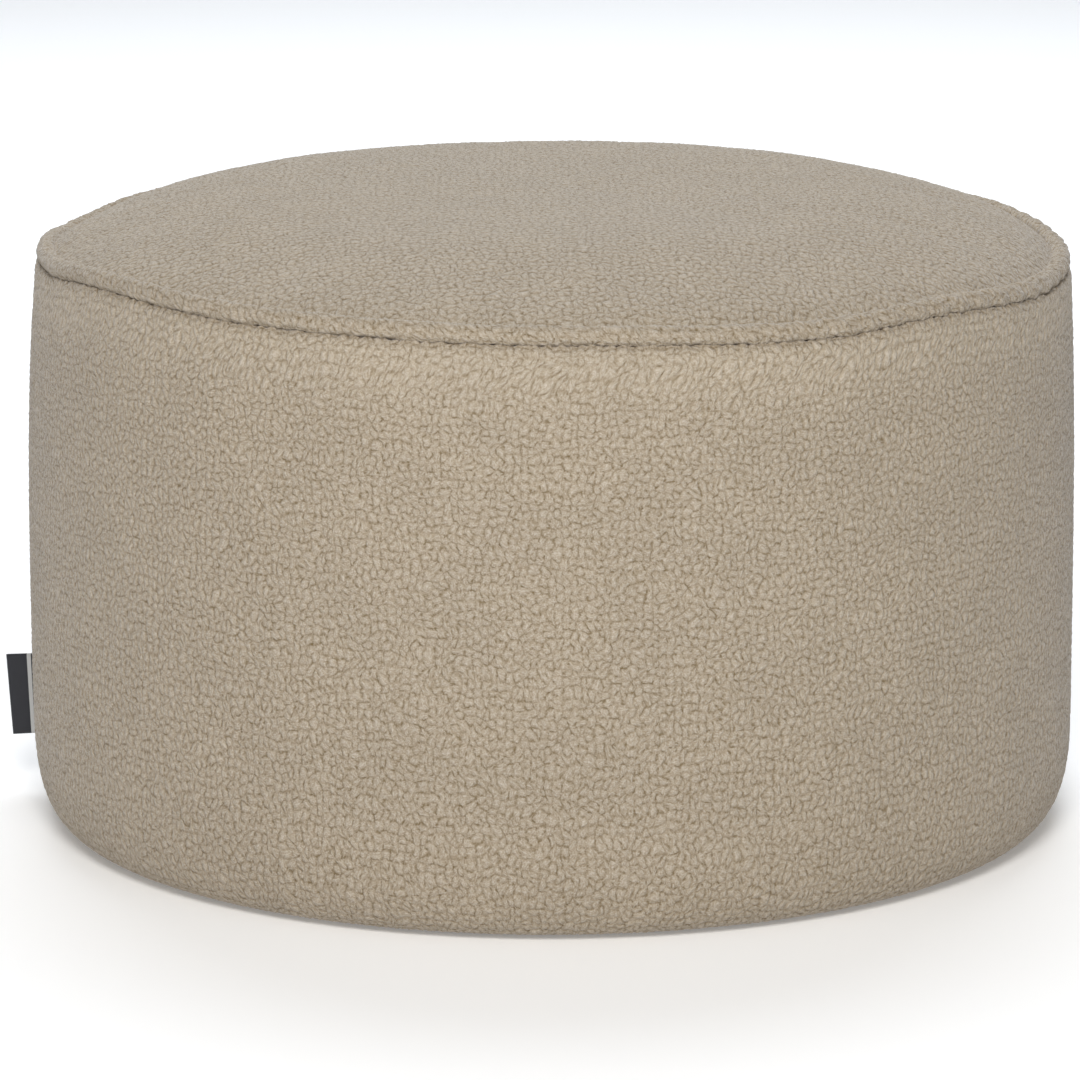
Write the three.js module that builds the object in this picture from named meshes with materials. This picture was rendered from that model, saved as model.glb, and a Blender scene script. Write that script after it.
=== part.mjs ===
// A round bean bag footstool in pile fleece: a crowned top, a welt round its edge, one side strip joined by
// an upright seam, a base disc, and a small folded label sewn into that seam.
// Millimetres, +Z up. The origin is the middle of the base, on the floor. The front faces -Y.
// Angles are in degrees, anticlockwise from +X when seen from above, so the front is at -90.
import * as THREE from "three";

// The filled body.
const BODY_RADIUS = 300; // the side at its fullest
const TOTAL_HEIGHT = 366.5; // the middle of the crowned top
const ANGLE_STEPS = 84;

// The welt, and the stitch line behind it.
const WELT_RADIUS = 5.5;
const WELT_SIDES = 12;
const STITCH_HEIGHT = 333.5; // the welt's middle
const WELT_PATH_RADIUS = 288.5; // plan radius of the welt's middle
const WELT_SLOPE = 0.3; // the higher the seam, the further in it lies
const PIECE_GAP = 0.3;
// The seam's unevenness, as [angle, rise]: higher at the front left, lower at the right.
const SEAM_RISES = [
  [-180, 2.5],
  [-166, 0],
  [-149, 5.5],
  [-119, 1.4],
  [-90, -0.8],
  [-58, -4.6],
  [-46, -1.2],
  [-20, -7],
  [0, -5.5],
  [30, -1.5],
  [70, 1],
  [110, -0.8],
  [150, 0.6],
  [180, 2.5],
];
const SEAM_FADE = 8; // how soon the unevenness dies out towards the middle of the top

// The top panel.
const CROWN_FLATNESS = 4.6; // the higher it is, the flatter the middle and the rounder the shoulder
const CROWN_FALL = 1.5;
const CROWN_EDGE = 0.979; // share of the crown's whole curve that lies inside the welt's path

// The side panel.
const SHOULDER_PROUD = 0.6; // how far the side stands out past the welt above it
const SHOULDER_FALL = 2.7; // the higher it is, the later the side draws in
const DRAW_IN_START = 130; // above this height the side draws in towards the welt
const ROLL_HEIGHT = 62; // the lower edge rolls in below this height
const ROLL_FOOT_RADIUS = 266; // where the roll reaches the floor
const ROLL_SQUARENESS = 2.7; // 2 is an ellipse, and more is squarer
const ROLL_STEPS = 9;
const CLOSING_SEAM = 172; // angle of the upright seam that joins the strip's ends
const CLOSING_SEAM_DEPTH = 2.2;
const CLOSING_SEAM_HALF_ANGLE = 0.9;

// The base disc.
const BASE_RADIUS = 261;
const BASE_THICKNESS = 2.4;
const BASE_EDGE = 0.8; // its turned edge

// The folded label.
const LABEL_HEIGHT = 48;
const LABEL_MIDDLE_HEIGHT = 60;
const LABEL_REACH = 24.8; // from the seam to the fold
const LABEL_ROOT_RADIUS = 298.8; // it starts inside the upright seam's crease
const LABEL_PLY = 0.7;
const LABEL_PLY_GAP = 0.5;
const LABEL_DROOP = 4; // it tips down towards its fold

const FLEECE = { color: 0xb9aa95, roughness: 0.95, metalness: 0 };
const BASE_CLOTH = { color: 0x6f675c, roughness: 0.9, metalness: 0 };
const LABEL_CLOTH = { color: 0x1f2024, roughness: 0.7, metalness: 0 };

const radians = THREE.MathUtils.degToRad;

function turnBetween(a, b) {
  return ((((a - b) % 360) + 540) % 360) - 180;
}

// How far the seam lies above or below its mean height: a smooth wave through the chosen rises.
function seamRise(angle) {
  const turned = turnBetween(angle, 0);
  const i = SEAM_RISES.findIndex(([place]) => place > turned);
  const [start, low] = SEAM_RISES[i - 1];
  const [end, high] = SEAM_RISES[i];
  const share = (1 - Math.cos((Math.PI * (turned - start)) / (end - start))) / 2;
  return low + (high - low) * share;
}

function weltPathRadius(angle) {
  return WELT_PATH_RADIUS - WELT_SLOPE * seamRise(angle);
}

// Height of the stitch line, or of the level that runs on from it inside the body. The share is 1 at the
// welt's path and 0 on the axis, where nothing is left of the unevenness.
function stitchHeight(angle, share = 1) {
  return STITCH_HEIGHT + seamRise(angle) * share ** SEAM_FADE;
}

// Angles of the body's facets, with a narrow crease cut in at the closing seam.
function bodyAngles() {
  const angles = [];
  for (let i = 0; i < ANGLE_STEPS; i += 1) {
    angles.push((360 * i) / ANGLE_STEPS);
  }
  const half = CLOSING_SEAM_HALF_ANGLE;
  const clear = angles.filter((a) => Math.abs(a - CLOSING_SEAM) > 2 * half);
  clear.push(CLOSING_SEAM - half, CLOSING_SEAM, CLOSING_SEAM + half);
  return clear.sort((a, b) => a - b);
}

// Joins one section for each angle into a closed body. A section is a list of [radius, height] points.
// An open section starts and ends on the axis, and runs so that the solid is on its left.
function bodyOfSections(sectionAt, loop = false) {
  const angles = bodyAngles();
  const points = [];
  const faces = [];
  const sections = angles.map(sectionAt);
  const size = sections[0].length;
  sections.forEach((section, i) => {
    const turn = radians(angles[i]);
    section.forEach(([r, z]) => points.push(r * Math.cos(turn), r * Math.sin(turn), z));
  });
  const steps = loop ? size : size - 1;
  for (let i = 0; i < angles.length; i += 1) {
    const here = i * size;
    const next = ((i + 1) % angles.length) * size;
    for (let j = 0; j < steps; j += 1) {
      const k = (j + 1) % size;
      // Each facet is split from its outer corner, so two surfaces that face each other stay parallel.
      const outward = sections[i][k][0] >= sections[i][j][0];
      const [a, b] = outward ? [here + k, next + j] : [next + k, here + j];
      if (loop || j > 0) faces.push(here + j, next + j, a);
      if (loop || j < size - 2) faces.push(b, next + k, here + k);
    }
  }
  if (!loop) {
    // Every section shares the first one's two points on the axis.
    for (let f = 0; f < faces.length; f += 1) {
      const place = faces[f] % size;
      if (place === 0 || place === size - 1) faces[f] = place;
    }
  }
  const geometry = new THREE.BufferGeometry();
  geometry.setAttribute("position", new THREE.Float32BufferAttribute(points, 3));
  geometry.setIndex(faces);
  geometry.computeVertexNormals();
  return geometry;
}

// Points of the hollow that the welt lies in, between two directions seen from the welt's middle.
function weltSeat(angle, from, to, steps) {
  const reach = WELT_RADIUS + PIECE_GAP;
  const path = weltPathRadius(angle);
  const middle = stitchHeight(angle);
  const seat = [];
  for (let i = 0; i <= steps; i += 1) {
    const way = radians(from + ((to - from) * i) / steps);
    seat.push([path + reach * Math.cos(way), middle + reach * Math.sin(way)]);
  }
  return seat;
}

// Height of the crowned top above the stitch line, at a share of the way out to the welt's path.
function crownRise(share) {
  const fall = 1 - (CROWN_EDGE * share) ** CROWN_FLATNESS;
  const rise = TOTAL_HEIGHT - STITCH_HEIGHT + WELT_RADIUS;
  return rise * fall ** (1 / CROWN_FALL) - WELT_RADIUS;
}

// The level where the top and the side meet inside the body, half a gap above or below the stitch line.
function meetingLevel(angle, offset) {
  return [0, 0.45, 0.83].map((share) => [
    share * weltPathRadius(angle),
    stitchHeight(angle, share) + offset,
  ]);
}

function topPanelSection(angle) {
  const under = meetingLevel(angle, PIECE_GAP / 2);
  const seat = weltSeat(angle, 178, 128, 3);
  const shares = [0.985, 0.972, 0.946, 0.904, 0.84, 0.735, 0.59, 0.4, 0.2, 0];
  const crown = shares.map((share) => [
    share * weltPathRadius(angle),
    stitchHeight(angle, share) + crownRise(share),
  ]);
  return [...under, ...seat, ...crown];
}

// The lower edge's roll, from the floor up to the upright side.
function rolledEdge() {
  const roll = [];
  for (let i = 0; i <= ROLL_STEPS; i += 1) {
    const way = (Math.PI / 2) * (i / ROLL_STEPS);
    const out = Math.sin(way) ** (2 / ROLL_SQUARENESS);
    const up = 1 - Math.cos(way) ** (2 / ROLL_SQUARENESS);
    roll.push([
      ROLL_FOOT_RADIUS + (BODY_RADIUS - ROLL_FOOT_RADIUS) * out,
      BASE_EDGE + (ROLL_HEIGHT - BASE_EDGE) * up,
    ]);
  }
  return roll;
}

function sidePanelSection(angle) {
  const crease = Math.abs(turnBetween(angle, CLOSING_SEAM)) < 0.01 ? CLOSING_SEAM_DEPTH : 0;
  const weltFoot = stitchHeight(angle) - WELT_RADIUS;
  const shoulderRadius = weltPathRadius(angle) + WELT_RADIUS + SHOULDER_PROUD;
  const floor = BASE_THICKNESS + PIECE_GAP;
  const base = [
    [0, floor],
    [BASE_RADIUS + PIECE_GAP, floor],
    [BASE_RADIUS + 2 * PIECE_GAP, BASE_EDGE + PIECE_GAP],
  ];
  // Above the roll the side is full, and then it draws in towards the welt.
  const upright = [0, 0.16, 0.36, 0.56, 0.74, 0.88, 0.96].map((share) => [
    BODY_RADIUS + (shoulderRadius - BODY_RADIUS) * share ** SHOULDER_FALL,
    DRAW_IN_START + (weltFoot - DRAW_IN_START) * share,
  ]);
  const shoulder = [
    [shoulderRadius - 0.5, weltFoot - 3.6],
    [shoulderRadius - 1.5, weltFoot - 1.2],
  ];
  const outside = [...rolledEdge(), ...upright, ...shoulder].map(([r, z]) => [r - crease, z]);
  const seat = weltSeat(angle, -68, -178, 4);
  const over = meetingLevel(angle, -PIECE_GAP / 2).reverse();
  return [...base, ...outside, ...seat, ...over];
}

function weltSection(angle) {
  const path = weltPathRadius(angle);
  const middle = stitchHeight(angle);
  const section = [];
  for (let i = 0; i < WELT_SIDES; i += 1) {
    const way = (2 * Math.PI * i) / WELT_SIDES;
    section.push([path + WELT_RADIUS * Math.cos(way), middle + WELT_RADIUS * Math.sin(way)]);
  }
  return section;
}

function basePanelSection() {
  return [
    [0, 0],
    [BASE_RADIUS - BASE_EDGE, 0],
    [BASE_RADIUS, BASE_EDGE],
    [BASE_RADIUS, BASE_THICKNESS],
    [0, BASE_THICKNESS],
  ];
}

// The label's section seen from above: two plies that leave the cover together and join at the fold.
function labelOutline() {
  const inner = LABEL_PLY_GAP / 2;
  const outer = inner + LABEL_PLY;
  const bend = LABEL_REACH - outer;
  const outline = new THREE.Shape();
  outline.moveTo(0, -outer);
  outline.lineTo(bend, -outer);
  outline.absarc(bend, 0, outer, -Math.PI / 2, Math.PI / 2, false);
  outline.lineTo(0, outer);
  outline.lineTo(0, inner);
  outline.lineTo(bend, inner);
  outline.absarc(bend, 0, inner, Math.PI / 2, -Math.PI / 2, true);
  outline.lineTo(0, -inner);
  return outline;
}

function sideLabelGeometry() {
  const geometry = new THREE.ExtrudeGeometry(labelOutline(), {
    depth: LABEL_HEIGHT,
    bevelEnabled: false,
    curveSegments: 8,
  });
  // The label droops: its fold leans in at the foot, and its long edges run down towards the fold.
  const droop = Math.tan(radians(LABEL_DROOP));
  const place = geometry.getAttribute("position");
  for (let i = 0; i < place.count; i += 1) {
    const along = place.getX(i);
    const up = place.getZ(i) - LABEL_HEIGHT / 2;
    place.setX(i, along * (1 + (droop * up) / LABEL_REACH));
    place.setZ(i, up - along * droop);
  }
  geometry.computeVertexNormals();
  return geometry;
}

function piece(name, geometry, finish) {
  const mesh = new THREE.Mesh(geometry, new THREE.MeshStandardMaterial(finish));
  mesh.name = name;
  return mesh;
}

function sideLabel() {
  const label = piece("side_label", sideLabelGeometry(), LABEL_CLOTH);
  const turn = radians(CLOSING_SEAM);
  label.position.set(
    LABEL_ROOT_RADIUS * Math.cos(turn),
    LABEL_ROOT_RADIUS * Math.sin(turn),
    LABEL_MIDDLE_HEIGHT,
  );
  label.rotation.z = turn;
  return label;
}

const footstool = new THREE.Group();
footstool.add(piece("top_panel", bodyOfSections(topPanelSection), FLEECE));
footstool.add(piece("top_welt", bodyOfSections(weltSection, true), FLEECE));
footstool.add(piece("side_panel", bodyOfSections(sidePanelSection), FLEECE));
footstool.add(piece("base_panel", bodyOfSections(basePanelSection), BASE_CLOTH));
footstool.add(sideLabel());

export default footstool;
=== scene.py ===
"""Looks of a round bean bag footstool in pile fleece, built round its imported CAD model.

Metres, +Z up. The front faces -Y, and the label is in the upright seam on the -X side.
The side and the top are each a fine grid over the filled shape. A short cloth simulation of a coarse
cage of it fills them, and then they and the welt get a pile of small curled tufts.
"""
import math

import bpy
import numpy as np
from mathutils import Matrix, Vector


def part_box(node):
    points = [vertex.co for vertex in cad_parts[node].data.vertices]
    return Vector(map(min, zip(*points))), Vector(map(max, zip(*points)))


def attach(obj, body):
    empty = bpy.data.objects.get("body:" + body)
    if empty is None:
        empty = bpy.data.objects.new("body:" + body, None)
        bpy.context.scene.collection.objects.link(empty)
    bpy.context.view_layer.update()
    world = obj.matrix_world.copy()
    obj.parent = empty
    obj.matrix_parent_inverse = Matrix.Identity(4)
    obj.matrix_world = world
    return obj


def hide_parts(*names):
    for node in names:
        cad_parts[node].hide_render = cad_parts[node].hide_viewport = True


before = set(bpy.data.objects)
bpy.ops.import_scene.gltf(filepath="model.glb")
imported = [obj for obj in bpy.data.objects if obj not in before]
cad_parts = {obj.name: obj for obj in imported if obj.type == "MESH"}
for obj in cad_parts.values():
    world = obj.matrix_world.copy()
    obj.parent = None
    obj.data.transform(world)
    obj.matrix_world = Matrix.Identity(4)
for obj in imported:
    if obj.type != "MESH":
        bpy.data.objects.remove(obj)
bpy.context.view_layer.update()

MM = 0.001
BAKE_MAP = "OFBake"  # the second UV map, laid out for baking the finishes
CLOTH_MAP = "cloth"  # the piece as it was cut flat, in metres
# Each piece starts its cloth map somewhere else, so that no two show the same part of the pattern.
BASE_START, TOP_START, WELT_START, HUB_START = 2, 4, 7, 9

# The body, from the frame.
SIDE_LOW, SIDE_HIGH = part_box("side_panel")
TOP_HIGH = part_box("top_panel")[1].z
BASE_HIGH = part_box("base_panel")[1]
BODY_RADIUS = (SIDE_HIGH.y - SIDE_LOW.y) / 2
BASE_RADIUS = BASE_HIGH.x

WELT_RADIUS = 5.5 * MM
SHOULDER_PROUD = 0.6 * MM  # how far the side stands out past the welt
DRAW_IN_START = 130 * MM  # height where the side starts to draw in towards the welt
DRAW_IN_FALL = 2.7
LIP_HEIGHT = 6.2 * MM  # the rounded upper edge of the side, where it turns in under the welt
LIP_DEPTH = 5.2 * MM
ROLL_HEIGHT = 62 * MM  # the rounded foot of the side
ROLL_FOOT_RADIUS = 266 * MM
ROLL_LIFT = 0.6 * MM
ROLL_SQUARENESS = 2.7
CROWN_FLATNESS = 4.6
CROWN_FALL = 1.5
CROWN_EDGE = 0.979
TOP_STOP = 2.4 * MM  # how far inside the welt's path the top cover goes in under the welt
SEAM_FADE = 8  # how soon the welt's ups and downs fade towards the middle of the top
CLOSING_SEAM = math.radians(172)
DROOP = 5.5 * MM  # how far the welt hangs down beside the closing seam
DROOP_AT = math.radians(166)
DROOP_WIDTH = math.radians(14)
HUB_HEIGHT = 3.4 * MM  # the side's open foot is closed here, above the base cloth
CLOSED_BELOW = 4 * MM  # the open edges under the welt are closed this far below the stitch line

PILE_DEPTH = 1.2 * MM
BRUSHED_AND_LIT_REACH = 34 * MM  # under the seam the pile stands a little longer, and painted light makes it paler
COMBED_REACH = 16 * MM  # and closer to it the pile is combed aslant
COMBED_ALONG, COMBED_UP = 9 * MM, 7 * MM
FILLING_REACH = 3.5 * MM  # the furthest that the filling moves a cover
FILLING_RISE = 3.2 * MM  # how much the filling raises the middle of the top
HELD_FOOT = 12 * MM  # the side is held up to here while it is filled
FREE_ABOVE_FOOT, FREE_BELOW_SEAM = 45 * MM, 35 * MM  # and free beyond these distances


# ---------------------------------------------------------------- camera and stage


def make_camera():
    """Looks along +Y from the front, a little from above."""
    distance, height = 3.4, 0.9096
    pitch, yaw, roll = 0.21722, 0.00205, -0.003
    data = bpy.data.cameras.new("camera")
    data.lens, data.sensor_width = 200.6, 36
    data.clip_start, data.clip_end = 0.1, 60
    camera = bpy.data.objects.new("camera", data)
    bpy.context.scene.collection.objects.link(camera)
    aim = Matrix.Rotation(yaw, 4, "Z") @ Matrix.Rotation(math.pi / 2 - pitch, 4, "X")
    camera.matrix_world = Matrix.Translation((0, -distance, height)) @ aim @ Matrix.Rotation(roll, 4, "Z")
    bpy.context.scene.camera = camera


def make_stage():
    """A plain pale floor and soft light: one lamp in front, one above behind, in a room with dark sides."""
    mesh = bpy.data.meshes.new("floor")
    reach = 14  # metres each way
    corners = [(-reach, -reach, 0), (reach, -reach, 0), (reach, reach, 0), (-reach, reach, 0)]
    mesh.from_pydata(corners, [], [(0, 1, 2, 3)])
    floor = bpy.data.objects.new("floor", mesh)
    bpy.context.scene.collection.objects.link(floor)
    floor_finish = bpy.data.materials.new("floor")
    floor_finish.use_nodes = True
    shader = floor_finish.node_tree.nodes["Principled BSDF"]
    shader.inputs["Base Color"].default_value = (0.9, 0.9, 0.9, 1)
    shader.inputs["Roughness"].default_value = 0.9
    shader.inputs["Specular IOR Level"].default_value = 0.1
    shader.inputs["Emission Color"].default_value = (1, 1, 1, 1)
    shader.inputs["Emission Strength"].default_value = 0.2
    mesh.materials.append(floor_finish)

    world = bpy.data.worlds.new("studio")
    world.use_nodes = True
    surround = Tree(world.node_tree)
    toward = surround.add("ShaderNodeTexCoord")
    sideways = surround.add("ShaderNodeSeparateXYZ", {}, {0: toward}, 0)
    flagged = (sideways * sideways).eased(0.08, 0.6)
    pale, dark = (0.98, 0.98, 1, 1), (0.1, 0.1, 0.1, 1)
    background = world.node_tree.nodes["Background"]
    surround.feed(background.inputs["Color"], surround.mixed(flagged, pale, dark))
    background.inputs["Strength"].default_value = 0.38
    bpy.context.scene.world = world

    add_light("front", (-0.1, -3.3, 2.4), 1.2, 103, (1, 0.985, 0.955))
    add_light("above", (0, 2.4, 3.2), 3.4, 114, (0.87, 0.93, 1))


def add_light(name, place, size, power, colour):
    data = bpy.data.lights.new(name, "AREA")
    data.shape, data.size = "DISK", size
    data.energy, data.color = power, colour
    light = bpy.data.objects.new(name, data)
    light.location = place
    light.rotation_euler = (Vector((0, 0, 0.2)) - Vector(place)).to_track_quat("-Z", "Y").to_euler()
    bpy.context.scene.collection.objects.link(light)


# ---------------------------------------------------------------- node trees


class Value:
    """A socket in a node tree. Arithmetic on it adds the Math nodes."""

    def __init__(self, tree, socket):
        self.tree, self.socket = tree, socket

    def maths(self, operation, *values):
        return self.tree.add("ShaderNodeMath", {"operation": operation}, dict(enumerate(values)))

    def __add__(self, other):
        return self.maths("ADD", self, other)

    def __sub__(self, other):
        return self.maths("SUBTRACT", self, other)

    def __mul__(self, other):
        return self.maths("MULTIPLY", self, other)

    def __rsub__(self, other):
        return self.maths("SUBTRACT", other, self)

    __radd__, __rmul__ = __add__, __mul__

    def eased(self, low, high):
        """0 below low, 1 above high, and smooth between."""
        settings = {"interpolation_type": "SMOOTHSTEP"}
        return self.tree.add("ShaderNodeMapRange", settings, {0: self, 1: low, 2: high})


class Tree:
    """A node tree of either kind, with one method that adds any node."""

    def __init__(self, nodes_of):
        self.nodes, self.links = nodes_of.nodes, nodes_of.links

    def add(self, kind, settings=None, values=None, out=0):
        """Adds a node: its settings first, then its sockets' values or links. Returns one output."""
        node = self.nodes.new(kind)
        for name, value in (settings or {}).items():
            setattr(node, name, value)
        for name, value in (values or {}).items():
            self.feed(node.inputs[name], value)
        return Value(self, node.outputs[out])

    def feed(self, socket, value):
        if isinstance(value, Value):
            self.links.new(value.socket, socket)
        else:
            socket.default_value = value

    def noise(self, place, size, detail=2.0, rough=0.5, out="Fac"):
        """Soft noise with features of about that size in metres."""
        values = {"Vector": place, "Scale": 1 / size, "Detail": detail, "Roughness": rough}
        return self.add("ShaderNodeTexNoise", {}, values, out)

    def cells(self, place, scale, random=0.9, feature="DISTANCE_TO_EDGE"):
        settings = {"feature": feature, "voronoi_dimensions": "2D"}
        values = {"Vector": place, "Scale": scale, "Randomness": random}
        return self.add("ShaderNodeTexVoronoi", settings, values, "Distance")

    def vector(self, operation, *values):
        return self.add("ShaderNodeVectorMath", {"operation": operation}, dict(enumerate(values)))

    def mixed(self, factor, first, second):
        values = {0: factor, 6: first, 7: second}
        return self.add("ShaderNodeMix", {"data_type": "RGBA"}, values, 2)


TUFT = 4.3 * MM  # across a tuft of the pile
CURL = 2.0 * MM  # across one of its curls


def pile_field(tree, cloth):
    """The pile over the flat cloth: tufts, the curls in them, the gaps between both, and loose fibres."""
    sway = tree.noise(cloth, 14 * MM, 1, out="Color")
    bend = tree.noise(cloth, 2.2 * MM, 2, out="Color")
    place = tree.vector("MULTIPLY_ADD", sway, (9 * MM, 9 * MM, 0), cloth)
    place = tree.vector("MULTIPLY_ADD", bend, (1.9 * MM, 1.9 * MM, 0), place)
    upright = tree.vector("MULTIPLY", place, (1, 0.82, 1))
    tuft_edge = tree.cells(upright, 1 / TUFT, 0.75)
    curl_edge = tree.cells(upright, 1 / CURL, 0.85)
    parted = tree.noise(cloth, 3 * MM, 3, 0.65).eased(0.38, 0.66)
    tousled = tree.noise(upright, 2.4 * MM, 2).eased(0.35, 0.7)
    tuft_gap = (1 - tuft_edge.eased(0, 0.21)) * (0.06 + 0.94 * parted)
    tuft_halo = (1 - tuft_edge.eased(0, 0.45)) * (0.15 + 0.6 * parted)
    curl_gap = (1 - curl_edge.eased(0, 0.4)) * tousled
    gaps = tuft_gap * 0.6 + tuft_halo * 0.3 + curl_gap * 0.35
    mounds = tuft_edge.eased(-0.1, 0.45) * 0.7 + curl_edge.eased(-0.1, 0.5) * 0.3
    fibres = tree.noise(place, 0.85 * MM, 3, 0.8)
    return mounds, gaps, fibres


def pile_height(tree, cloth):
    """Height of the pile, from 0 to about 1."""
    mounds, gaps, _ = pile_field(tree, cloth)
    swell = tree.noise(cloth, 28 * MM, 1)
    return mounds * 0.75 + (1 - gaps) * 0.15 + swell * 0.2


# ---------------------------------------------------------------- finishes


def principled(name, constants):
    """A material and its tree. Numbers and colours that are the same all over go on the shader itself."""
    finish = bpy.data.materials.new(name)
    finish.use_nodes = True
    shader = finish.node_tree.nodes["Principled BSDF"]
    for socket, value in constants.items():
        shader.inputs[socket].default_value = value
    return finish, Tree(finish.node_tree), shader


SAND = (0.425, 0.366, 0.292, 1)
PALE_SAND = (0.455, 0.39, 0.309, 1)
# painted highlight on the fibre tips
TIP_HIGHLIGHT = (0.67, 0.62, 0.56, 1)
SHADE = (0.185, 0.137, 0.083, 1)
# painted shade on the sloping sides of the tufts
HONEY_TUFT_SHADE = (0.3, 0.222, 0.108, 1)
# painted shade in the gaps between the tufts and their curls
GAP_SHADE = (0.13, 0.08, 0.02, 1)
# painted light: a pale band under the seam
PAINTED_LIGHT_BAND = (0.68, 0.59, 0.465, 1)
# painted shade in the creases
CREASE_SHADE = (0.07, 0.035, 0.011, 1)


def fleece_finish():
    """Sand beige pile fleece: pale curled clumps, painted shade on their sides and in the gaps between
    them, painted highlights on the fibre tips, and a soft pale sheen.
    """
    constants = {
        "Roughness": 0.93,
        "Specular IOR Level": 0.12,
        "Sheen Weight": 0.27,
        "Sheen Roughness": 0.4,
        "Sheen Tint": (0.94, 0.95, 1, 1),
    }
    finish, tree, shader = principled("pile_fleece", constants)
    cloth = tree.add("ShaderNodeUVMap", {"uv_map": CLOTH_MAP})
    mounds, gaps, fibres = pile_field(tree, cloth)
    mottle = tree.noise(cloth, 45 * MM, 1)
    tone = tree.mixed(mottle.eased(0.3, 0.7), SAND, PALE_SAND)
    # Painted shade: golden brown on the sloping sides of each tuft, away from its top.
    tone = tree.mixed((1 - mounds) * 0.4, tone, HONEY_TUFT_SHADE)
    # Painted highlights: pale specks on the fibre tips, where they catch the light.
    tone = tree.mixed(fibres.eased(0.42, 0.72) * 0.6, tone, TIP_HIGHLIGHT)
    tone = tree.mixed((1 - fibres.eased(0.28, 0.52)) * 0.5, tone, SHADE)
    # Painted shade: dark brown in the gaps between the tufts and between their curls.
    tone = tree.mixed(gaps * 0.74, tone, GAP_SHADE)
    nap = tree.add("ShaderNodeAttribute", {"attribute_name": "nap"}, {}, "Fac")
    # Painted light: a pale band where the nap is above 1, under the seam and on the lip.
    tone = tree.mixed(nap.eased(1, 1.35) * 0.13, tone, PAINTED_LIGHT_BAND)
    # Painted shade: dark brown where the nap falls, in the crease under the welt, at the closing seam, at
    # the side's foot and in the top's dimples and tuck.
    tone = tree.mixed(nap.eased(0.7, 0.1) * 0.92, tone, CREASE_SHADE)
    tree.feed(shader.inputs["Base Color"], tone)

    height = mounds * 0.8 - gaps * 0.5 + fibres * 0.35
    bump = {"Strength": 0.7, "Distance": 0.9 * MM, "Height": height}
    tree.feed(shader.inputs["Normal"], tree.add("ShaderNodeBump", {}, bump))
    return finish


def base_finish():
    """Plain woven base cloth."""
    finish, tree, shader = principled("base_cloth", {"Roughness": 0.88, "Specular IOR Level": 0.2})
    cloth = tree.add("ShaderNodeUVMap", {"uv_map": CLOTH_MAP})
    across = tree.add("ShaderNodeTexWave", {"bands_direction": "X"}, {"Vector": cloth, "Scale": 260}, 1)
    along = tree.add("ShaderNodeTexWave", {"bands_direction": "Y"}, {"Vector": cloth, "Scale": 260}, 1)
    weave = across * along
    speckle = tree.noise(cloth, 3 * MM, 3)
    tone = tree.mixed(weave, (0.11, 0.095, 0.078, 1), (0.21, 0.185, 0.152, 1))
    tone = tree.mixed(speckle.eased(0.35, 0.7) * 0.4, tone, (0.25, 0.225, 0.19, 1))
    tree.feed(shader.inputs["Base Color"], tone)
    bump = {"Strength": 0.5, "Distance": 0.25 * MM, "Height": weave}
    tree.feed(shader.inputs["Normal"], tree.add("ShaderNodeBump", {}, bump))
    return finish


def label_finish():
    """Tightly woven dark ribbon with one plain pale stripe along it."""
    constants = {"Roughness": 0.55, "Specular IOR Level": 0.4, "Sheen Weight": 0.1}
    finish, tree, shader = principled("label_ribbon", constants)
    cloth = tree.add("ShaderNodeUVMap", {"uv_map": CLOTH_MAP})
    ribs = tree.add("ShaderNodeTexWave", {"bands_direction": "Y"}, {"Vector": cloth, "Scale": 620}, 1)
    threads = tree.noise(cloth, 0.5 * MM, 2)
    tone = tree.mixed(ribs * 0.6 + threads * 0.3, (0.009, 0.0095, 0.013, 1), (0.022, 0.023, 0.03, 1))
    along = tree.add("ShaderNodeSeparateXYZ", {}, {0: cloth}, 0)
    # The cloth map runs over the fold from one end of the ribbon to the other: both plies get the stripe.
    from_fold = along.maths("ABSOLUTE", along - LABEL_CUT / 2)
    inner = from_fold.eased(11.9 * MM, 12.2 * MM)
    outer = from_fold.eased(14.2 * MM, 14.5 * MM)
    stripe = inner - outer
    tone = tree.mixed(stripe * (0.75 + 0.25 * ribs), tone, (0.55, 0.55, 0.54, 1))
    tree.feed(shader.inputs["Base Color"], tone)
    bump = {"Strength": 0.4, "Distance": 0.12 * MM, "Height": ribs + stripe}
    tree.feed(shader.inputs["Normal"], tree.add("ShaderNodeBump", {}, bump))
    return finish


# ---------------------------------------------------------------- the body's shape


class Seam:
    """The welt's path, read from its CAD node: plan radius and height for any angle."""

    def __init__(self):
        points = np.array([v.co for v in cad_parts["top_welt"].data.vertices])
        turns = np.round(np.arctan2(points[:, 1], points[:, 0]), 3)
        radii = np.hypot(points[:, 0], points[:, 1])
        self.angles = np.unique(turns)
        groups = [turns == turn for turn in self.angles]
        self.radii = self.softened([(radii[g].max() + radii[g].min()) / 2 for g in groups])
        self.heights = self.softened([(points[g, 2].max() + points[g, 2].min()) / 2 for g in groups])
        self.mean = self.heights.mean()

    @staticmethod
    def softened(values):
        values = np.array(values)
        return (np.roll(values, 1) + 2 * values + np.roll(values, -1)) / 4

    def radius(self, angle):
        return np.interp(angle, self.angles, self.radii, period=2 * math.pi)

    def height(self, angle, share=1.0):
        """Height of the stitch line. Towards the middle of the top its unevenness fades."""
        rise = np.interp(angle, self.angles, self.heights, period=2 * math.pi) - self.mean
        from_droop = (angle - DROOP_AT + math.pi) % (2 * math.pi) - math.pi
        return self.mean + (rise - DROOP * bell(from_droop, DROOP_WIDTH)) * share**SEAM_FADE


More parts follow.
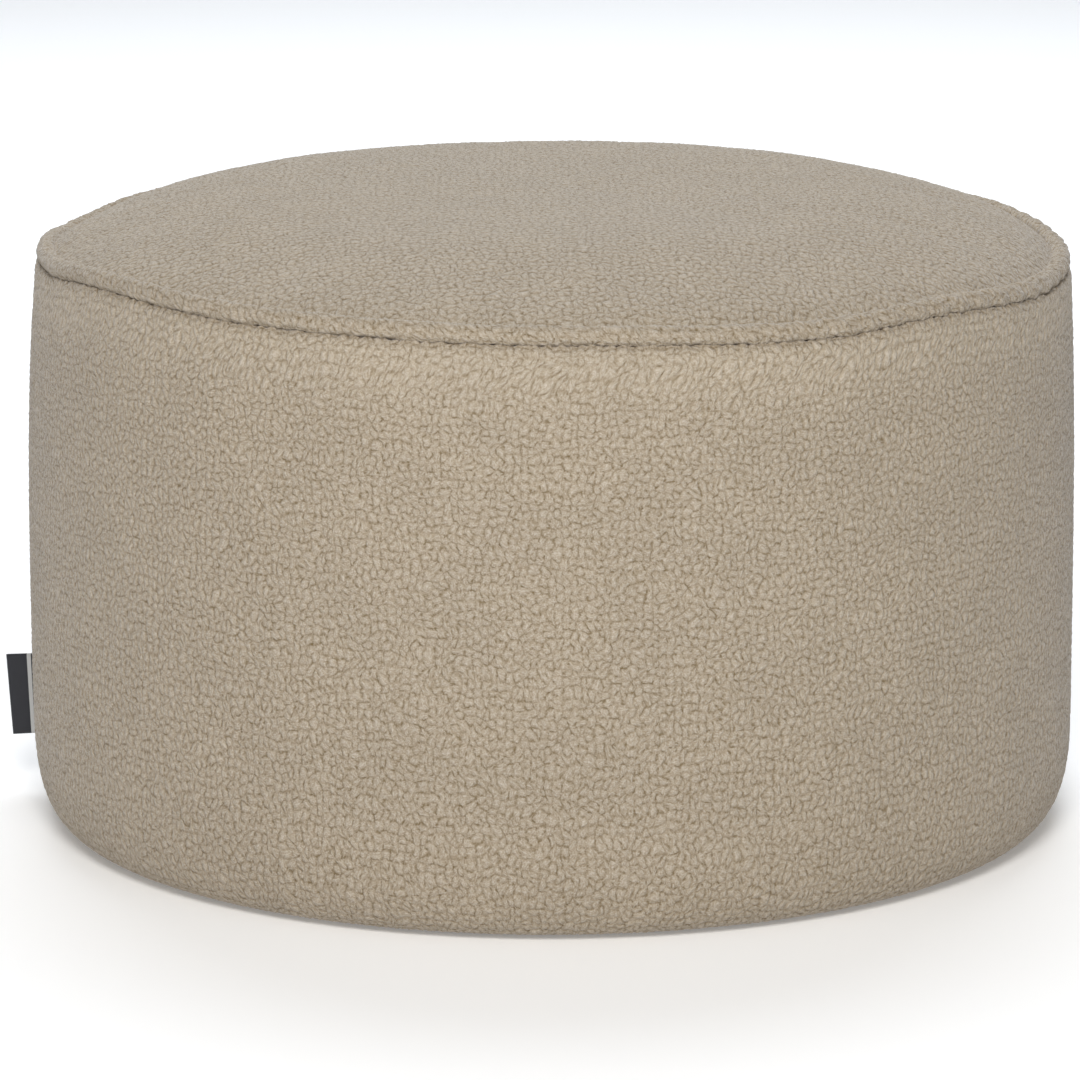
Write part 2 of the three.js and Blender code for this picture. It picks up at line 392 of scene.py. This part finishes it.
def crown_rise(share):
    """Height of the crowned top above the stitch line, at a share of the way out to the welt's path."""
    fall = np.maximum(0, 1 - (CROWN_EDGE * share) ** CROWN_FLATNESS)
    before_filling = TOP_HIGH - FILLING_RISE - seam.mean
    return (before_filling + WELT_RADIUS) * fall ** (1 / CROWN_FALL) - WELT_RADIUS


def round_about(radius, angle, height):
    """Points from plan radius, angle and height."""
    return np.stack(np.broadcast_arrays(radius * np.cos(angle), radius * np.sin(angle), height), -1)


def bell(distance, width):
    return np.exp(-((distance / width) ** 2))


def uneven(angle, waves):
    """Small irregular waves round the body, from -1 to 1, with about that many to a turn."""
    first = np.sin(waves * angle + 2 * np.sin(waves // 3 * angle))
    second = np.sin(waves * 7 // 4 * angle + 1.5 * np.sin(waves // 5 * angle + 1))
    return 0.6 * first + 0.4 * second


COARSE = 8  # fine steps to each step of the cage that the cloth simulation fills
FILLING_FRAMES = 20
SIDE_COLUMNS = COARSE * 156
ROLL_ROWS, UPRIGHT_ROWS, LIP_ROWS = 50, 174, 8
TOP_RINGS, TUCK_RINGS = 156, 12
WELT_COLUMNS, WELT_SIDES = 1216, 24
CREASE_DEPTH = 3.2 * MM
CREASE_WIDTH = math.radians(0.6)


def side_surface():
    """The side cover from under its foot to the crease below the welt, as columns of rows, with its nap."""
    angle = (CLOSING_SEAM + 2 * math.pi * np.arange(SIDE_COLUMNS) / SIDE_COLUMNS)[:, None]
    welt_foot = seam.height(angle) - WELT_RADIUS
    shoulder = seam.radius(angle) + WELT_RADIUS + SHOULDER_PROUD

    way = (math.pi / 2 * np.linspace(0, 1, ROLL_ROWS) ** 1.05)[None, :]
    roll_out = np.sin(way) ** (2 / ROLL_SQUARENESS)
    roll_up = 1 - np.cos(way) ** (2 / ROLL_SQUARENESS)
    roll_radius = ROLL_FOOT_RADIUS + (BODY_RADIUS - ROLL_FOOT_RADIUS) * roll_out + 0 * angle
    foot = SIDE_LOW.z + ROLL_LIFT
    roll_height = foot + (ROLL_HEIGHT - foot) * roll_up + 0 * angle

    up = (np.arange(1, UPRIGHT_ROWS + 1) / UPRIGHT_ROWS)[None, :]
    height = ROLL_HEIGHT + (welt_foot - LIP_HEIGHT - ROLL_HEIGHT) * up
    drawn = np.maximum(0, (height - DRAW_IN_START) / (welt_foot - DRAW_IN_START)) ** DRAW_IN_FALL
    radius = BODY_RADIUS + (shoulder - BODY_RADIUS) * drawn

    turn = (math.pi / 2 * np.arange(1, LIP_ROWS + 1) / LIP_ROWS)[None, :]
    lip_depth = LIP_DEPTH + 0.7 * MM * uneven(angle, 140)
    lip_radius = radius[:, -1:] - lip_depth * (1 - np.cos(turn))
    closed = (0.95 + 0.9 * abs(np.cos(angle)) ** 6 + 0.85 * uneven(angle, 170)) * MM
    lip_height = welt_foot - LIP_HEIGHT + (LIP_HEIGHT + closed) * np.sin(turn)

    under = BASE_RADIUS - 8 * MM + 0 * angle
    radii = np.hstack([under, roll_radius, radius, lip_radius])
    heights = np.hstack([0 * angle + HUB_HEIGHT, roll_height, height, lip_height])
    # Under the seam the pile is longer, and its nap above 1 paints a pale band of light.
    brushed_and_lit = 1 + 0.3 * bell(welt_foot - height, BRUSHED_AND_LIT_REACH)
    # Low nap paints shade into the fleece's colour: at the foot, down the lip into the crease under the
    # welt, and at the closing seam. On the lip's upper rows the nap is above 1, which paints light there.
    foot_nap = np.minimum(1, 0.25 + way * 6) + 0 * angle
    nap = np.hstack([0 * under, foot_nap, brushed_and_lit, 1.3 * np.cos(turn) ** 0.5 + 0 * angle])

    away = (angle - CLOSING_SEAM + math.pi) % (2 * math.pi) - math.pi
    sewn = bell(away, CREASE_WIDTH)
    radii = radii - CREASE_DEPTH * sewn * np.minimum(1, heights / (20 * MM))
    return round_about(radii, angle, heights), nap * (1 - 0.75 * sewn)


def disc_grid(cells):
    """A square grid drawn out into a disc: each point's share of the way out, and its angle."""
    a, b = np.meshgrid(*[np.linspace(-1, 1, cells + 1)] * 2, indexing="ij")
    share = np.maximum(abs(a), abs(b))
    safe = np.where(share == 0, 1, share)
    sideways = np.where(a < 0, math.pi - math.pi / 4 * b / safe, math.pi / 4 * b / safe)
    upwards = np.where(b < 0, -math.pi / 2 + math.pi / 4 * a / safe, math.pi / 2 - math.pi / 4 * a / safe)
    return share, np.where(abs(a) >= abs(b), sideways, upwards)


def top_surface():
    """The top cover. It goes in under the welt, with small dimples along the joint."""
    rings = TOP_RINGS + TUCK_RINGS
    share, angle = disc_grid(2 * rings)
    path = seam.radius(angle)
    ring = share * rings
    out = (1 - TOP_STOP / path) * np.minimum(1, ring / TOP_RINGS)
    tucked = np.maximum(0, (ring - TOP_RINGS) / TUCK_RINGS)
    from_path = path * (1 - out)
    joint = bell(from_path - 4.2 * MM, 2.4 * MM)
    dimples = joint * np.maximum(0, uneven(angle, 120) - 0.15)
    radius = path * out - 2.6 * MM * tucked**1.5
    sunk = (4 + np.cos(angle)) * MM * np.cos(angle) ** 2 * np.exp(-from_path / (17 * MM))
    height = seam.height(angle, out) + crown_rise(out) - sunk - 1.1 * MM * dimples - 7 * MM * tucked**1.2
    cloth = round_about(ring * 1.8 * MM, angle, 0)[..., :2]
    # The dimples and the tuck lower the nap, which paints shade there in the fleece's colour.
    return round_about(radius, angle, height), (1 - 0.6 * dimples) * (1 - tucked), cloth


def welt_surface():
    """The rolled strip of the same fleece, twisted into soft uneven lumps here and there."""
    turn = (2 * math.pi * np.arange(WELT_COLUMNS) / WELT_COLUMNS)[:, None]
    way = (2 * math.pi * np.arange(WELT_SIDES) / WELT_SIDES)[None, :]
    path, middle = seam.radius(turn), seam.height(turn)
    # It is most twisted a little forward of the +X side.
    twist = 0.05 * (0.5 + 0.5 * np.sin(5 * turn + 0.6)) + 0.1 * np.maximum(0, np.cos(turn + 0.4)) ** 8
    lumps = twist * np.sin(97 * turn + 2.2 * way + 1.5 * np.sin(7 * turn))
    underneath = 0.035 * (1 - np.sin(way)) * uneven(turn, 200)
    radius = WELT_RADIUS * (0.97 + lumps + underneath + 0.03 * np.sin(31 * turn + 1))
    points = round_about(path + radius * np.cos(way), turn, middle + radius * np.sin(way))
    return points, 0.85 + 0.15 * np.sin(way) + 0 * turn


# ---------------------------------------------------------------- meshes


def grid_piece(name, points, cloth, nap=None, strips=1, hubs=()):
    """A closed piece from a grid of points. Where the cloth map has one more column or row than the points,
    the grid joins up with itself. Each hub closes an open edge with a flat fan, which nothing shows."""
    columns, rows = points.shape[:2]
    wide, tall = cloth.shape[0] - 1, cloth.shape[1] - 1
    i, j = np.meshgrid(np.arange(wide), np.arange(tall), indexing="ij")
    corners = ((i, j), (i + 1, j), (i + 1, j + 1), (i, j + 1))
    quads = np.stack([a % columns * rows + b % rows for a, b in corners], -1).reshape(-1, 4)
    cloth_map = np.stack([cloth[a, b] for a, b in corners], 2).reshape(-1, 2)
    strip = i * strips // wide
    across = np.stack([a * strips / wide - strip for a, _ in corners], -1)
    up = np.stack([(strip + 0.02 + 0.96 * b / tall) / strips for _, b in corners], -1)
    bake_map = np.stack([0.01 + 0.98 * across, up], -1).reshape(-1, 2)

    vertices, faces = points.reshape(-1, 3), quads.tolist()
    stands = None if nap is None else nap.ravel()
    for edge, middle in hubs:
        hub = len(vertices)
        vertices = np.vstack([vertices, [middle]])
        fan = [(hub, edge[k], edge[(k + 1) % len(edge)]) for k in range(len(edge))]
        faces += fan
        spot = np.array([vertices[list(face)][:, :2] for face in fan]).reshape(-1, 2)
        cloth_map = np.vstack([cloth_map, spot + HUB_START])
        bake_map = np.vstack([bake_map, 0.004 + spot * 0.005])
        if stands is not None:
            stands = np.append(stands, 0)

    mesh = bpy.data.meshes.new(name)
    mesh.from_pydata(vertices.tolist(), [], faces)
    for map_name, values in ((CLOTH_MAP, cloth_map), (BAKE_MAP, bake_map)):
        layer = mesh.uv_layers.new(name=map_name, do_init=False)
        layer.uv.foreach_set("vector", values.astype(np.float32).ravel())
    if stands is not None:
        mesh.attributes.new("nap", "FLOAT", "POINT").data.foreach_set("value", stands.astype(np.float32))
    mesh.shade_smooth()
    mesh.update()
    piece = bpy.data.objects.new(name, mesh)
    bpy.context.scene.collection.objects.link(piece)
    return piece


def rim(cells):
    """The vertices round the edge of a square grid, clockwise seen from above."""
    side = cells + 1
    return (
        [j for j in range(cells)]
        + [i * side + cells for i in range(cells)]
        + [cells * side + j for j in range(cells, 0, -1)]
        + [i * side for i in range(cells, 0, -1)]
    )


def side_piece():
    points, nap = side_surface()
    points = filled("side", points, wraps=True, free=side_freedom(points))
    columns, rows = points.shape[:2]
    profile = np.stack([np.hypot(points[..., 0], points[..., 1]).mean(0), points[..., 2].mean(0)], -1)
    lengths = np.concatenate([[0], np.cumsum(np.hypot(*np.diff(profile, axis=0).T))])
    below_seam = np.maximum(0, lengths[-LIP_ROWS] - lengths)
    combed = bell(below_seam, COMBED_REACH)
    along = np.arange(columns + 1)[:, None] / columns * 2 * math.pi * BODY_RADIUS
    # Towards the foot the tufts are a little longer.
    up = lengths * (0.85 + 0.15 * lengths / lengths[-1]) - COMBED_UP * combed
    cloth = np.stack(np.broadcast_arrays(along - COMBED_ALONG * combed[None, :], up[None, :]), -1)
    low = [k * rows for k in range(columns)]
    high = [k * rows + rows - 1 for k in range(columns - 1, -1, -1)]
    hubs = ((low[::-1], (0, 0, HUB_HEIGHT)), (high[::-1], (0, 0, seam.mean - CLOSED_BELOW)))
    return grid_piece("side_cover", points, cloth, nap, 2, hubs)


def side_freedom(points):
    """How freely each point of the side moves as it is filled: not at all at the foot and at the seam."""
    height = points[..., 2]
    from_seam = height[:, -LIP_ROWS:][:, :1] - height
    from_foot = height - HELD_FOOT
    return np.clip(from_foot / FREE_ABOVE_FOOT, 0, 1) * np.clip(from_seam / FREE_BELOW_SEAM, 0, 1)


def top_piece():
    points, nap, cloth = top_surface()
    cells = points.shape[0] - 1
    share, _ = disc_grid(cells)
    points = filled("top", points, wraps=False, free=np.clip((1 - share) / 0.2, 0, 1))
    hub = (rim(cells), (0, 0, seam.mean - CLOSED_BELOW))
    return grid_piece("top_cover", points, cloth + TOP_START, nap, 1, (hub,))


def welt_piece():
    points, nap = welt_surface()
    along = np.arange(WELT_COLUMNS + 1)[:, None] / WELT_COLUMNS * 2 * math.pi * seam.radii.mean()
    around = np.arange(WELT_SIDES + 1)[None, :] / WELT_SIDES * 2 * math.pi * WELT_RADIUS
    cloth = np.stack([along + 0.4 * around + WELT_START, around + 0 * along], -1)
    return grid_piece("welt", points, cloth, nap, 8)


def base_piece():
    """The base cloth: flat on the floor, with its edge turned up into the side's foot."""
    cells = 48
    share, angle = disc_grid(cells)
    lift = BASE_HIGH.z * np.maximum(0, (share - 0.95) / 0.05) ** 2
    points = round_about(BASE_RADIUS * share, angle, lift)
    cloth = points[..., :2] + BASE_START
    piece = grid_piece("base_cloth", points, cloth, hubs=((rim(cells), (0, 0, BASE_HIGH.z)),))
    piece.data.flip_normals()
    return piece


# ---------------------------------------------------------------- filling and pile


def spread(values, axis, wraps):
    """Fills in the fine points between the cage's points along one axis, smoothly."""
    values = np.moveaxis(values, axis, 0)
    count = len(values)
    fine = np.arange(count * COARSE if wraps else (count - 1) * COARSE + 1)
    t = (fine % COARSE / COARSE).reshape(-1, *[1] * (values.ndim - 1))
    weights = ((1 - t) ** 3, 4 - 6 * t**2 + 3 * t**3, 1 + 3 * t + 3 * t**2 - 3 * t**3, t**3)
    total = 0
    for step, weight in zip((-1, 0, 1, 2), weights):
        place = fine // COARSE + step
        place = place % count if wraps else np.clip(place, 0, count - 1)
        total = total + weight / 6 * values[place]
    return np.moveaxis(total, 0, axis)


def filled(name, points, wraps, free):
    """Fills a cover by a short cloth simulation of its cage, and moves the fine points with the cage.
    No point moves further than a few millimetres, because the cover was cut to its filled shape."""
    cage = points[::COARSE, ::COARSE]
    columns, rows = cage.shape[:2]
    flat = np.zeros((columns + wraps, rows, 2))
    pad = grid_piece(name + "_cage", cage, flat)
    held = pad.vertex_groups.new(name="held")
    for index, freedom in enumerate(free[::COARSE, ::COARSE].ravel()):
        held.add([index], 1 - freedom, "REPLACE")
    cloth = pad.modifiers.new("filling", "CLOTH")
    settings = cloth.settings
    settings.quality = 6
    settings.mass = 0.35
    settings.tension_stiffness = settings.compression_stiffness = 18
    settings.shear_stiffness = 9
    settings.bending_stiffness = 0.8
    settings.use_pressure = True
    settings.uniform_pressure_force = 4
    settings.effector_weights.gravity = 0
    settings.vertex_group_mass = "held"
    settings.pin_stiffness = 1
    cloth.collision_settings.use_collision = False
    for number in range(1, FILLING_FRAMES + 1):
        bpy.context.scene.frame_set(number)
    settled = pad.evaluated_get(bpy.context.evaluated_depsgraph_get()).data
    after = np.array([v.co for v in settled.vertices]).reshape(cage.shape)
    bpy.data.objects.remove(pad)
    bpy.context.scene.frame_set(1)
    move = after - cage
    length = np.linalg.norm(move, axis=-1, keepdims=True)
    move *= FILLING_REACH / np.maximum(length, FILLING_REACH)
    fine = spread(spread(move, 0, wraps), 1, False)
    return points + fine * free[..., None]


def pile_tree():
    """Geometry nodes that raise a cover into tufts along its normals."""
    group = bpy.data.node_groups.new("pile", "GeometryNodeTree")
    face = group.interface
    face.new_socket("Cover", in_out="INPUT", socket_type="NodeSocketGeometry")
    face.new_socket("Pile depth", in_out="INPUT", socket_type="NodeSocketFloat")
    face.new_socket("Finish", in_out="INPUT", socket_type="NodeSocketMaterial")
    face.new_socket("Cover", in_out="OUTPUT", socket_type="NodeSocketGeometry")
    tree = Tree(group)
    entry = group.nodes.new("NodeGroupInput")
    cover, depth, finish = (Value(tree, entry.outputs[i]) for i in range(3))
    vector = {"data_type": "FLOAT_VECTOR"}
    cloth = tree.add("GeometryNodeInputNamedAttribute", vector, {"Name": CLOTH_MAP}, "Attribute")
    stand = tree.add("GeometryNodeInputNamedAttribute", {}, {"Name": "nap"}, "Attribute")
    normal = tree.add("GeometryNodeInputNormal")
    height = (pile_height(tree, cloth) - 0.55) * depth * stand
    offset = tree.add("ShaderNodeVectorMath", {"operation": "SCALE"}, {0: normal, 3: height})
    raised = tree.add("GeometryNodeSetPosition", {}, {"Geometry": cover, "Offset": offset})
    plain = tree.add("GeometryNodeRealizeInstances", {}, {0: raised})
    dressed = tree.add("GeometryNodeSetMaterial", {}, {"Geometry": plain, "Material": finish})
    tree.feed(group.nodes.new("NodeGroupOutput").inputs[0], dressed)
    return group


def made_plain(piece):
    """Turns the piece and its modifiers into one plain mesh."""
    graph = bpy.context.evaluated_depsgraph_get()
    mesh = bpy.data.meshes.new_from_object(
        piece.evaluated_get(graph), preserve_all_data_layers=True, depsgraph=graph
    )
    piece.modifiers.clear()
    piece.data = mesh
    mesh.name = piece.name
    return piece


def raise_pile(piece, depth, finish):
    """Gives a cover its pile, and leaves one plain mesh."""
    pile = piece.modifiers.new("pile", "NODES")
    pile.node_group = pile_nodes
    inputs = {s.name: s.identifier for s in pile_nodes.interface.items_tree if s.in_out == "INPUT"}
    pile[inputs["Pile depth"]] = depth
    pile[inputs["Finish"]] = finish
    return made_plain(piece)


# ---------------------------------------------------------------- the label

LABEL_HEIGHT = 48 * MM
LABEL_REACH = 27.5 * MM  # from its sewn end, inside the crease, to the fold
LABEL_THICKNESS = 0.5 * MM
LABEL_CUT = 2 * LABEL_REACH
LABEL_MIDDLE = (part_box("side_label")[0].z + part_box("side_label")[1].z) / 2
LABEL_SLOPE = math.tan(math.radians(4))  # how much it droops towards the fold


def label_piece(finish):
    """The ribbon folded double, both ends in the upright seam, its fold outwards, drooping a little."""
    steps, rises = 56, 24
    root, spread_out = BODY_RADIUS - 4.2 * MM, 0.6 * MM
    along = np.linspace(-1, 1, steps + 1)[:, None]
    up = (np.linspace(0, 1, rises + 1)[None, :] - 0.5) * LABEL_HEIGHT
    near_fold = np.minimum(1, abs(along) / 0.05)
    reach = LABEL_REACH * (1 - abs(along)) - 0.4 * MM * (1 - np.sqrt(1 - (1 - near_fold) ** 2))
    wave = 0.6 * MM * np.sin(reach / LABEL_REACH * 2.4 + up * 38) * reach / LABEL_REACH
    across = np.sign(along) * spread_out * np.sqrt(near_fold * (2 - near_fold)) + wave
    out = root + reach * (1 + LABEL_SLOPE * up / LABEL_REACH)
    x, y = math.cos(CLOSING_SEAM), math.sin(CLOSING_SEAM)
    height = LABEL_MIDDLE + up - LABEL_SLOPE * reach
    points = np.stack(np.broadcast_arrays(out * x - across * y, out * y + across * x, height), -1)
    cut = (along + 1) / 2 * LABEL_CUT
    cloth = np.stack(np.broadcast_arrays(cut, up + LABEL_HEIGHT / 2), -1)
    label = grid_piece("label", points, cloth)
    label.data.materials.append(finish)
    thick = label.modifiers.new("thickness", "SOLIDIFY")
    thick.thickness, thick.offset = LABEL_THICKNESS, 0
    return made_plain(label)


# ---------------------------------------------------------------- making it all

bpy.context.scene.view_settings.view_transform = "Standard"
make_camera()
make_stage()

seam = Seam()
fleece, base_cloth, ribbon = fleece_finish(), base_finish(), label_finish()
pile_nodes = pile_tree()

side = raise_pile(side_piece(), PILE_DEPTH, fleece)
top = raise_pile(top_piece(), PILE_DEPTH, fleece)
welt = raise_pile(welt_piece(), PILE_DEPTH, fleece)
base = base_piece()
base.data.materials.append(base_cloth)
label = label_piece(ribbon)

for piece, node, slot in (
    (side, "side_panel", "pile_fleece"),
    (top, "top_panel", "pile_fleece"),
    (welt, "top_welt", "pile_fleece"),
    (base, "base_panel", "base_cloth"),
    (label, "side_label", "label_ribbon"),
):
    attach(piece, "root")
    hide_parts(node)
